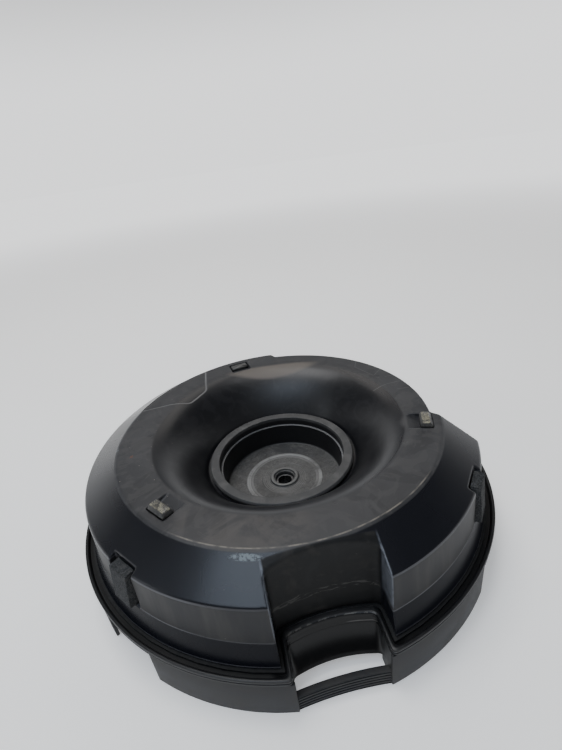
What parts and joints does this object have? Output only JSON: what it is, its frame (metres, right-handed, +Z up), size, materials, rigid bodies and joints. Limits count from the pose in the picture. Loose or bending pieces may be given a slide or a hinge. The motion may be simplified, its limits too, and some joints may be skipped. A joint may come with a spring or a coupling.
{
  "type": "spare wheel subwoofer",
  "caption": "Round two-shell bass speaker enclosure that nests in a spare wheel, with a hub cup in a deep dish, a grip notch, foam blocks and a skirt.",
  "frame": {"origin": "on the wheel axis, at the foot of the skirt", "axes": "+Z up along the wheel axis, out of the wheel side; -Y through the grip notch; +X towards the cable recess"},
  "size_m": [0.41, 0.4068, 0.1155],
  "materials": {
    "shell_plastic": "satin black moulded plastic, glossy on the shoulder",
    "cover_plastic": "fine-textured black plastic",
    "cup_plastic": "matte dark grey plastic, scuffed",
    "foam": "open-cell foam block",
    "pad_plastic": "dark plastic, rubbed pale on top",
    "seal_rubber": "matte rubber",
    "steel": "zinc plated",
    "screw_steel": "black zinc",
    "ferrite": "sintered ferrite",
    "cone_paper": "coated paper",
    "copper": "enamelled copper wire",
    "spider_cloth": "resin-coated cloth",
    "cast_alloy": "bead-blasted, dark",
    "circuit_board": "solder mask",
    "black_plastic": "fine-grained black plastic",
    "wadding": "polyester fibre"
  },
  "bodies": {
    "enclosure": {"wheel_side_shell": "shell_plastic", "cover_side_shell": "cover_plastic", "rim_seal": "seal_rubber", "centre_cup": "cup_plastic", "centre_bush": "screw_steel", "grip_strip": "cover_plastic", "driver_basket": "cast_alloy", "driver_gasket": "seal_rubber", "driver_top_plate": "steel", "driver_magnet": "ferrite", "driver_back_plate": "steel", "driver_surround": "seal_rubber", "driver_spider": "spider_cloth", "driver_terminal": "black_plastic", "driver_grille": "black_plastic", "reflex_port": "black_plastic", "amplifier_heat_sink": "cast_alloy", "amplifier_board": "circuit_board", "output_choke": "copper", "capacitor_1": "black_plastic", "capacitor_2": "black_plastic", "harness_socket": "black_plastic", "wiring_harness": "seal_rubber", "damping_wadding": "wadding", "foam_block_1": "foam", "foam_block_2": "foam", "support_pad_1": "pad_plastic", "support_pad_2": "pad_plastic", "support_pad_3": "pad_plastic", "driver_screw_1": "screw_steel", "amplifier_screw_1": "screw_steel", "driver_screw_2": "screw_steel", "amplifier_screw_2": "screw_steel", "driver_screw_3": "screw_steel", "amplifier_screw_3": "screw_steel", "driver_screw_4": "screw_steel", "amplifier_screw_4": "screw_steel", "shell_screw_1": "screw_steel", "shell_screw_2": "screw_steel", "shell_screw_3": "screw_steel", "shell_screw_4": "screw_steel", "shell_screw_5": "screw_steel", "shell_screw_6": "screw_steel"},
    "cone": {"driver_cone": "cone_paper", "coil_former": "cone_paper", "voice_coil": "copper", "dust_cap": "cone_paper"}
  },
  "joints": [
    {"name": "cone_travel", "type": "slide", "parent": "enclosure", "child": "cone", "axis": [0, 0, 1], "range_m": [-0.006, 0.006], "stiffness_N_per_m": 2200, "deforming": ["driver_surround", "driver_spider"]}
  ]
}
